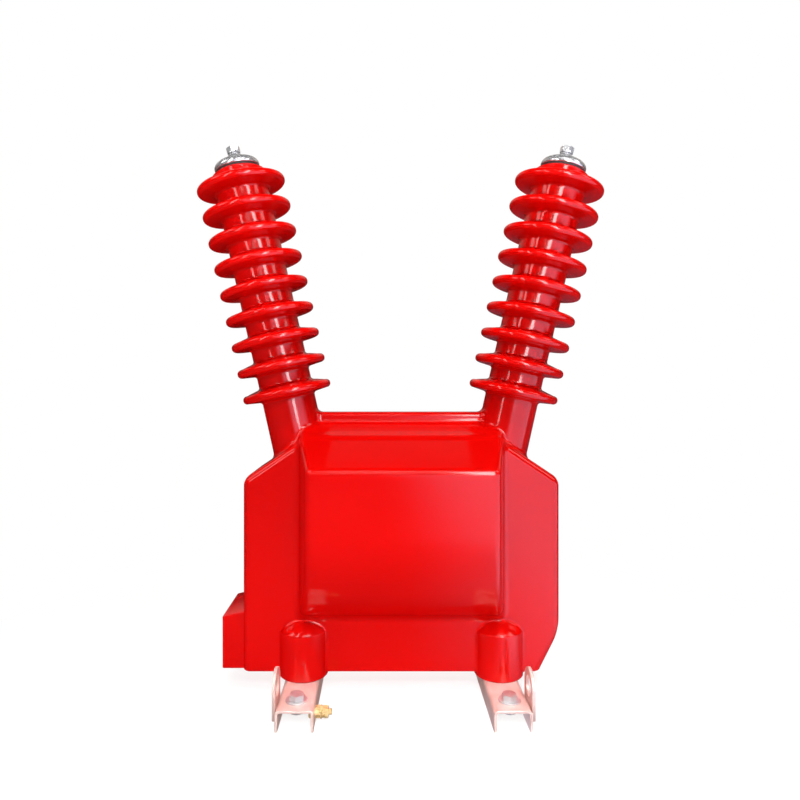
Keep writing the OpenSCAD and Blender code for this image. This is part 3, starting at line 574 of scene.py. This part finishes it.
dome = [(dome_r * math.sin(a), dome_z + dome_r * math.cos(a)) for a in (0.87 * (1 - k / 24) for k in range(25))]
edge = rounded([(foot_r, 22.0), (foot_r, rim_z), dome[0]], [0, 1.2, 0], 8)
lathe(bm, [(0, channel_top), (foot_r - 0.8, channel_top), (foot_r, channel_top + 0.8)]
      + [(p.x, p.y) for p in edge] + dome[1:-1] + [(0, dome_z + dome_r)], 96)
feet = new_piece("cast_feet", bm, resin, 60)
place(feet, spread, Pitch_X=2 * channel_x * MM, Pitch_Y=2 * foot_y * MM, Height=0.0, Material=resin)
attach(feet, "root")
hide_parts("resin_casting")

# Insulators: two leaning stems with nine sheds each, part of the same pour and of the same red resin.
# Each shed falls away outwards, has a full round rim and runs into the stem with a small radius.
stack = bpy.data.node_groups.new("Sheds along a stem", "GeometryNodeTree")
stack.is_modifier = True
for label, kind in (("Geometry", "NodeSocketGeometry"), ("Sheds", "NodeSocketInt"),
                    ("Pitch", "NodeSocketFloat"), ("Lean", "NodeSocketRotation"),
                    ("Foot", "NodeSocketVector"), ("Material", "NodeSocketMaterial")):
    stack.interface.new_socket(label, in_out="INPUT", socket_type=kind)
stack.interface.new_socket("Geometry", in_out="OUTPUT", socket_type="NodeSocketGeometry")
entry = stack.nodes.new("NodeGroupInput")
step = stack.nodes.new("ShaderNodeCombineXYZ")
line = stack.nodes.new("GeometryNodeMeshLine")
copies = stack.nodes.new("GeometryNodeInstanceOnPoints")
solid = stack.nodes.new("GeometryNodeRealizeInstances")
weld = stack.nodes.new("GeometryNodeMergeByDistance")
weld.inputs["Distance"].default_value = 0.00002
tilt = stack.nodes.new("GeometryNodeTransform")
painted = stack.nodes.new("GeometryNodeSetMaterial")
leave = stack.nodes.new("NodeGroupOutput")
stack.links.new(entry.outputs["Sheds"], line.inputs["Count"])
stack.links.new(entry.outputs["Pitch"], step.inputs["Z"])
stack.links.new(step.outputs["Vector"], line.inputs["Offset"])
stack.links.new(line.outputs["Mesh"], copies.inputs["Points"])
stack.links.new(entry.outputs["Geometry"], copies.inputs["Instance"])
stack.links.new(copies.outputs["Instances"], solid.inputs["Geometry"])
stack.links.new(solid.outputs["Geometry"], weld.inputs["Geometry"])
stack.links.new(weld.outputs["Geometry"], tilt.inputs["Geometry"])
stack.links.new(entry.outputs["Lean"], tilt.inputs["Rotation"])
stack.links.new(entry.outputs["Foot"], tilt.inputs["Translation"])
stack.links.new(tilt.outputs["Geometry"], painted.inputs["Geometry"])
stack.links.new(entry.outputs["Material"], painted.inputs["Material"])
stack.links.new(painted.outputs["Geometry"], leave.inputs["Geometry"])
sheds, pitch, shed_r, rim, stub_h = 9, 28.8, 48.0, 4.4, 17.5


def stem_axis(side):
    """Frame of one insulator: its origin in the middle of the lowest shed, its Z along the stem."""
    return Matrix.Translation((side * neck_x, 0, neck_top)) @ Matrix.Rotation(side * lean, 4, "Y")


for side, name in ((-1, "left"), (1, "right")):
    section = rounded([(stem, -pitch / 2), (stem, -6.2), (shed_r - rim, -rim), (shed_r + 0.2, -rim),
                       (shed_r + 0.2, rim - 0.2), (shed_r - rim, rim + 0.1), (stem, 8.5), (stem, pitch / 2)],
                      [0, 3.2, 2.0, 4.2, 4.2, 3.0, 3.2, 0], 10)
    bm = bmesh.new()
    lathe(bm, [(p.x, p.y) for p in section], 128)
    insulator = new_piece("shed_insulator_" + name, bm, resin)
    place(insulator, stack, Sheds=sheds, Pitch=pitch * MM, Lean=(0, side * lean, 0),
          Foot=(side * neck_x * MM, 0, neck_top * MM), Material=resin)
    bm = bmesh.new()
    bm.from_mesh(insulator.data)
    bmesh.ops.holes_fill(bm, edges=[e for e in bm.edges if e.is_boundary])
    bmesh.ops.recalc_face_normals(bm, faces=bm.faces)
    bm.to_mesh(insulator.data)
    bm.free()
    insulator.data.shade_smooth()
    insulator.data.set_sharp_from_angle(angle=math.radians(60))
    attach(insulator, "root")
    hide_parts("resin_casting")
    bm = bmesh.new()
    top = (sheds - 1) * pitch
    seam = top + pitch / 2 - 0.05
    lathe(bm, [(0, seam), (stem, seam), (27.2, top + 15.6), (25.4, top + 16.3), (24.9, top + 17.0),
               (24.2, top + 17.45), (0, top + stub_h)], 128, stem_axis(side))
    stub = new_piece("insulator_end_" + name, bm, resin, 50)
    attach(stub, "root")
    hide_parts("resin_casting")

# Line terminals: on each insulator a black rubber gasket, a turned and polished cap, a cone washer,
# a spring washer and a hexagon bolt, all threaded on one axis into a brass insert in the resin.
rubber = bpy.data.materials.new("black rubber")
rubber.use_nodes = True
nt = rubber.node_tree
shader = nt.nodes["Principled BSDF"]
shader.inputs["Base Color"].default_value = (0.012, 0.010, 0.010, 1)
coords = nt.nodes.new("ShaderNodeTexCoord")
dust = nt.nodes.new("ShaderNodeTexNoise")
dust.inputs["Scale"].default_value = 300.0
rough = nt.nodes.new("ShaderNodeMapRange")
rough.inputs["To Min"].default_value = 0.55
rough.inputs["To Max"].default_value = 0.8
nt.links.new(coords.outputs["Object"], dust.inputs["Vector"])
nt.links.new(dust.outputs["Fac"], rough.inputs["Value"])
nt.links.new(rough.outputs["Result"], shader.inputs["Roughness"])
polished = bpy.data.materials.new("turned cap metal")
polished.use_nodes = True
nt = polished.node_tree
shader = nt.nodes["Principled BSDF"]
shader.inputs["Metallic"].default_value = 0.75
shader.inputs["Base Color"].default_value = (0.60, 0.60, 0.61, 1)
coords = nt.nodes.new("ShaderNodeTexCoord")
turned = nt.nodes.new("ShaderNodeTexNoise")
turned.inputs["Scale"].default_value = 160.0
turned.inputs["Detail"].default_value = 5.0
rough = nt.nodes.new("ShaderNodeMapRange")
rough.inputs["To Min"].default_value = 0.16
rough.inputs["To Max"].default_value = 0.30
nt.links.new(coords.outputs["Object"], turned.inputs["Vector"])
nt.links.new(turned.outputs["Fac"], rough.inputs["Value"])
nt.links.new(rough.outputs["Result"], shader.inputs["Roughness"])
seat = (sheds - 1) * pitch + stub_h
bore, gasket_t, cap_h, cone_h, split_t = 4.25, 2.5, 11.0, 6.5, 1.9
for side, name in ((-1, "left"), (1, "right")):
    axis = stem_axis(side)
    bm = bmesh.new()
    low = seat + gasket_t
    lathe(bm, [(bore, seat), (23.2, seat), (23.5, seat + 0.4), (23.5, low - 0.4), (23.2, low), (bore, low),
               (bore, seat)], 96, axis)
    gasket = new_piece("terminal_gasket_" + name + "_ring", bm, rubber, 35)
    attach(gasket, "root")
    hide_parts("terminal_gasket_" + name)
    bm = bmesh.new()
    base = low + cap_h
    dome = [(9.3 + 15.2 * math.cos(a), low + 2.5 + 8.5 * math.sin(a))
            for a in (math.pi / 2 * k / 20 for k in range(21))]
    lathe(bm, [(bore, low), (23.4, low), (24.1, low + 0.3), (24.5, low + 1.0)] + dome + [(bore, base), (bore, low)],
          128, axis)
    cap = new_piece("turned_cap_" + name, bm, polished, 40)
    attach(cap, "root")
    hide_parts("terminal_cap_" + name)
    bm = bmesh.new()
    tip = base + cone_h
    lathe(bm, [(bore, base), (9.0, base), (9.3, base + 0.4), (6.2, tip - 0.4), (5.7, tip), (bore, tip), (bore, base)],
          72, axis)
    cone = new_piece("turned_cone_" + name, bm, polished, 35)
    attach(cone, "root")
    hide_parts("cone_washer_" + name)
for node, label in (("line_spring_washers", "spring washers"), ("line_bolts", "bolts")):
    bm = bmesh.new()
    for side in (-1, 1):
        axis = stem_axis(side)
        base = seat + gasket_t + cap_h + cone_h
        if label == "bolts":
            head = base + split_t
            hexagon(bm, 13.0, 5.2, head, matrix=axis @ Matrix.Rotation(math.radians(8 * side), 4, "Z"))
            lathe(bm, [(0, seat - 18), (4.0, seat - 18), (4.0, head + 0.5), (0, head + 0.5)], 32, axis)
        else:
            spring_ring(bm, 7.0, bore, split_t, base, axis @ Matrix.Rotation(math.radians(-60), 4, "Z"))
    piece = new_piece("line_" + label.replace(" ", "_"), bm, bright, 35)
    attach(piece, "root")
    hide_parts(node)

# Terminal box: a thin red moulded cover over the secondary studs, held by two countersunk screws.
# A gasket lies hidden in its rim, and the cable comes in from below through a rubber bush.
bm = bmesh.new()
face_x, root_x, low_z, high_z, root_z, half = -186.5, -163.75, 24.5, 79.0, 84.0, 36.25
screw_y, screw_z, bush_x, bush_r = 26.0, 51.75, -173.625, 6.5
corners = [(face_x, low_z), (root_x, low_z), (root_x, root_z), (face_x, high_z)]
verts = [[bm.verts.new((x, y, z)) for x, z in corners] for y in (-half, half)]
for i in range(4):
    j = (i + 1) % 4
    bm.faces.new((verts[0][i], verts[0][j], verts[1][j], verts[1][i]))
bm.faces.new(verts[0])
bm.faces.new(list(reversed(verts[1])))
outer = [e for e in bm.edges if not all(abs(v.co.x - root_x) < 0.01 for v in e.verts)]
bmesh.ops.bevel(bm, geom=outer, offset=1.3, segments=4, profile=0.5, affect="EDGES")
cover = new_piece("terminal_box_cover", bm, resin, 35)
cutter_mesh = bmesh.new()
for y in (-screw_y, screw_y):
    lathe(cutter_mesh, [(0, 0), (2.3, 0), (4.3, 2.0), (4.3, 4.0), (0, 4.0)], 48,
          Matrix.Translation((face_x + 2.0, y, screw_z)) @ Matrix.Rotation(-math.pi / 2, 4, "Y"))
lathe(cutter_mesh, [(0, -2), (bush_r, -2), (bush_r, 6), (0, 6)], 48, Matrix.Translation((bush_x, 0, low_z)))
cutter = new_piece("cover_holes", cutter_mesh, resin)
cut = cover.modifiers.new("holes", "BOOLEAN")
cut.operation = "DIFFERENCE"
cut.solver = "EXACT"
cut.object = cutter
settle(cover)
bpy.data.objects.remove(cutter)
cover.data.set_sharp_from_angle(angle=math.radians(35))
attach(cover, "root")
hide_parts("box_cover")
for node, material in (("box_screws", bright), ("box_gasket", rubber), ("cable_bush", rubber)):
    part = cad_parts[node]
    for s in part.material_slots:
        s.material = material

# Setting: a wide white sheet under the object in a white room. Four soft lamps give the shading, five strips the
# gloss. The sheet keeps a faint contact shadow. Mirror rays see it, and the room, bright only in a few directions.
bm = bmesh.new()
reach = 4000
for x, y in ((-reach, -reach), (reach, -reach), (reach, reach), (-reach, reach)):
    bm.verts.new((x, y, 0))
bm.faces.new(bm.verts)


def ramp(tree, value, start, stop, low=0.0, high=1.0):
    """A soft step of a value between two of its levels."""
    step = tree.nodes.new("ShaderNodeMapRange")
    step.interpolation_type = "SMOOTHSTEP"
    for label, number in (("From Min", start), ("From Max", stop), ("To Min", low), ("To Max", high)):
        step.inputs[label].default_value = number
    tree.links.new(value, step.inputs["Value"])
    return step.outputs["Result"]


def combine(tree, operation, a, b):
    """One sum or product of two values."""
    node = tree.nodes.new("ShaderNodeMath")
    node.operation = operation
    tree.links.new(a, node.inputs[0])
    tree.links.new(b, node.inputs[1])
    return node.outputs["Value"]


def by_ray(tree, camera, mirror, other, surface):
    """Shows one shader to the camera, one to mirror rays and one to all other rays."""
    rays = tree.nodes.new("ShaderNodeLightPath")
    for ray, shader in (("Is Glossy Ray", mirror), ("Is Camera Ray", camera)):
        mix = tree.nodes.new("ShaderNodeMixShader")
        tree.links.new(rays.outputs[ray], mix.inputs["Fac"])
        tree.links.new(other, mix.inputs[1])
        tree.links.new(shader, mix.inputs[2])
        other = mix.outputs["Shader"]
    tree.links.new(other, surface)


paper = bpy.data.materials.new("white sheet")
paper.use_nodes = True
paper.cycles.emission_sampling = "NONE"
nt = paper.node_tree
nt.nodes.remove(nt.nodes["Principled BSDF"])
coords = nt.nodes.new("ShaderNodeTexCoord")
axis_of = nt.nodes.new("ShaderNodeSeparateXYZ")
away = nt.nodes.new("ShaderNodeVectorMath")
away.operation = "LENGTH"
matt = nt.nodes.new("ShaderNodeBsdfDiffuse")
matt.inputs["Color"].default_value = (0.20, 0.20, 0.20, 1)
glow = nt.nodes.new("ShaderNodeEmission")
glow.inputs["Strength"].default_value = 0.84
lit = nt.nodes.new("ShaderNodeAddShader")
far = nt.nodes.new("ShaderNodeEmission")
sheet = nt.nodes.new("ShaderNodeMixShader")
sheen = nt.nodes.new("ShaderNodeEmission")
sheen.inputs["Color"].default_value = (0.90, 0.92, 1.25, 1)
bounce = nt.nodes.new("ShaderNodeEmission")
bounce.inputs["Strength"].default_value = 1.30
nt.links.new(coords.outputs["Object"], axis_of.inputs["Vector"])
nt.links.new(coords.outputs["Object"], away.inputs[0])
nt.links.new(matt.outputs["BSDF"], lit.inputs[0])
nt.links.new(glow.outputs["Emission"], lit.inputs[1])
nt.links.new(ramp(nt, away.outputs["Value"], 0.22, 0.55), sheet.inputs["Fac"])
nt.links.new(lit.outputs["Shader"], sheet.inputs[1])
nt.links.new(far.outputs["Emission"], sheet.inputs[2])
to_right = ramp(nt, axis_of.outputs["X"], 0.0, 0.30, 0.03, 2.2)
in_front = ramp(nt, axis_of.outputs["Y"], 0.0, -0.15, 0.03, 1.0)
nt.links.new(combine(nt, "MULTIPLY", to_right, in_front), sheen.inputs["Strength"])
by_ray(nt, sheet.outputs["Shader"], sheen.outputs["Emission"], bounce.outputs["Emission"],
       nt.nodes["Material Output"].inputs["Surface"])
floor = new_piece("white_sheet", bm, paper)

world = bpy.data.worlds.new("white room")
bpy.context.scene.world = world
world.cycles.sampling_method = "NONE"
world.use_nodes = True
nt = world.node_tree
room = nt.nodes["Background"]
room.inputs["Color"].default_value = (1, 1, 1, 1)
room.inputs["Strength"].default_value = 0.24
white = nt.nodes.new("ShaderNodeBackground")
white.inputs["Color"].default_value = (1, 1, 1, 1)
window = nt.nodes.new("ShaderNodeBackground")
window.inputs["Color"].default_value = (0.90, 0.92, 1.25, 1)
wall = nt.nodes.new("ShaderNodeBackground")
wall.inputs["Color"].default_value = (1.0, 0.86, 0.78, 1)
mirror = nt.nodes.new("ShaderNodeAddShader")
coords = nt.nodes.new("ShaderNodeTexCoord")
axis_of = nt.nodes.new("ShaderNodeSeparateXYZ")
nt.links.new(coords.outputs["Generated"], axis_of.inputs["Vector"])
level = combine(nt, "MULTIPLY", ramp(nt, axis_of.outputs["Z"], -0.25, -0.05),
                ramp(nt, axis_of.outputs["Z"], 0.30, 0.10))
right_front = combine(nt, "MULTIPLY", ramp(nt, axis_of.outputs["X"], -0.05, 0.20, 0.06, 2.6),
                      ramp(nt, axis_of.outputs["Y"], -0.20, -0.60))
nt.links.new(combine(nt, "MULTIPLY", level, right_front), window.inputs["Strength"])
behind = combine(nt, "MULTIPLY", ramp(nt, axis_of.outputs["Y"], 0.10, 0.70, 0.03, 0.65),
                 combine(nt, "MULTIPLY", ramp(nt, axis_of.outputs["Z"], 0.10, 0.50, 0.05, 1.0),
                         ramp(nt, axis_of.outputs["Z"], 0.90, 0.45)))
nt.links.new(behind, wall.inputs["Strength"])
nt.links.new(window.outputs["Background"], mirror.inputs[0])
nt.links.new(wall.outputs["Background"], mirror.inputs[1])
by_ray(nt, white.outputs["Background"], mirror.outputs["Shader"], room.outputs["Background"],
       nt.nodes["World Output"].inputs["Surface"])

for name, place_at, target, size, spread_deg, power, mirrored in (
        ("overhead", (0.05, -0.60, 1.45), (0, 0, 0.20), (1.0, 0.40), 180, 19.0, False),
        ("low softbox", (0.0, -0.90, 0.70), (0, -0.15, 0), (0.40, 0.20), 36, 0.70, False),
        ("high softbox", (0.0, -1.00, 0.75), (0, 0, 0.52), (0.50, 0.20), 36, 0.68, False),
        ("rear softbox", (0.0, 1.20, 0.70), (0, 0, 0.20), (0.60, 0.40), 70, 1.8, False),
        ("right strip", (0.24, -0.74, 0.62), (0.05, 0, 0.40), (0.16, 0.62), 180, 6.0, True),
        ("left strip", (-0.38, -0.50, 0.62), (-0.05, 0, 0.40), (0.06, 0.62), 180, 1.2, True),
        ("top strip", (0.25, -0.75, 1.20), (0.10, 0, 0.25), (0.90, 0.07), 180, 1.8, True),
        ("left high strip", (-1.00, -0.45, 1.00), (0, 0, 0.25), (0.35, 0.50), 180, 2.2, True),
        ("right high strip", (1.00, -0.45, 1.00), (0, 0, 0.25), (0.35, 0.50), 180, 2.2, True)):
    lamp = bpy.data.lights.new(name, "AREA")
    lamp.shape = "RECTANGLE"
    lamp.size, lamp.size_y = size
    lamp.energy = power
    lamp.spread = math.radians(spread_deg)
    holder = bpy.data.objects.new(name, lamp)
    holder.location = place_at
    holder.rotation_euler = (Vector(target) - Vector(place_at)).to_track_quat("-Z", "Y").to_euler()
    holder.visible_camera = False
    holder.visible_glossy = mirrored
    holder.visible_diffuse = not mirrored
    bpy.context.scene.collection.objects.link(holder)

eye = bpy.data.cameras.new("product camera")
eye.sensor_width = 36.0
eye.lens = 29.25
eye.shift_x, eye.shift_y = 0.02375, -0.029375
camera = bpy.data.objects.new("product camera", eye)
camera.location = (-0.021, -0.714, 0.329)
camera.rotation_euler = (math.pi / 2, 0, 0)
bpy.context.scene.collection.objects.link(camera)
bpy.context.scene.camera = camera
bpy.context.scene.view_settings.view_transform = "Standard"
